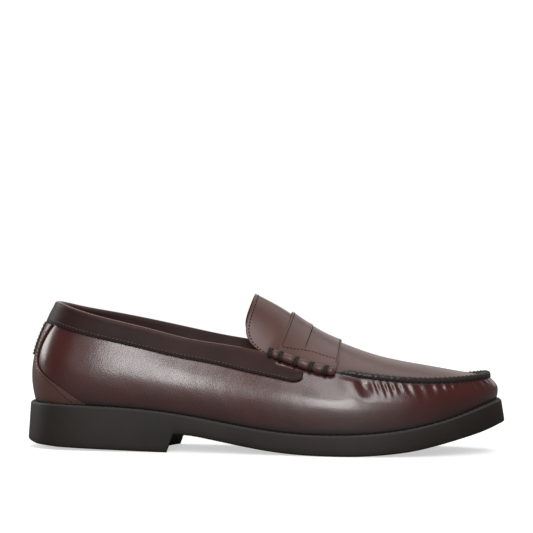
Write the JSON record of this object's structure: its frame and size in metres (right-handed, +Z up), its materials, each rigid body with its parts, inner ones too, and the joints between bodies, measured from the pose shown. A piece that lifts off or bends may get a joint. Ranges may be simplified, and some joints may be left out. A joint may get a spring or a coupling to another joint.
{
  "type": "penny loafer",
  "caption": "Right-foot slip-on leather shoe with a raised apron seam, a slotted saddle strap with bound ends, a folded collar band and a moulded rubber sole unit with a low heel.",
  "frame": {"origin": "centre of the shoe's outline on the ground, under the sole", "axes": "+X towards the toe, +Y towards the inner (medial) side, +Z up"},
  "size_m": [0.3, 0.1028, 0.0975],
  "materials": {
    "burgundy_leather": "high-shine polished corrected-grain leather, burgundy with darker burnishing",
    "trim_leather": "the same polished leather, slightly darker",
    "sole_rubber": "matte moulded rubber, very dark brown",
    "lining_leather": "tan, matte, fine nap",
    "lining_cloth": "plain woven cotton",
    "leatherboard": "matte pressed fibre",
    "cork": "granulated cork, matte",
    "spring_steel": "plain rolled strip",
    "latex_foam": "matte foam",
    "stiffener_plastic": "matte thermoplastic sheet",
    "waxed_thread": "thick waxed twisted thread, very dark"
  },
  "bodies": {
    "root": {"outsole": "sole_rubber", "insole_board": "leatherboard", "bottom_filler": "cork", "shank": "spring_steel", "heel_pad": "latex_foam", "sock_liner": "lining_leather", "vamp": "burgundy_leather", "inner_quarter": "burgundy_leather", "apron": "burgundy_leather", "saddle_strap": "trim_leather", "collar_band": "trim_leather", "heel_patch": "trim_leather", "back_strap": "trim_leather", "heel_counter": "leatherboard", "toe_puff": "stiffener_plastic", "quarter_lining": "lining_leather", "vamp_lining": "lining_cloth", "tongue_lining": "lining_leather", "apron_seam_thread": "waxed_thread", "sole_seam_thread": "waxed_thread", "outer_binding_1": "waxed_thread", "outer_binding_2": "waxed_thread", "outer_binding_3": "waxed_thread", "outer_binding_4": "waxed_thread", "outer_binding_5": "waxed_thread", "inner_binding_1": "waxed_thread", "inner_binding_2": "waxed_thread", "inner_binding_3": "waxed_thread", "inner_binding_4": "waxed_thread", "inner_binding_5": "waxed_thread"}
  },
  "joints": []
}
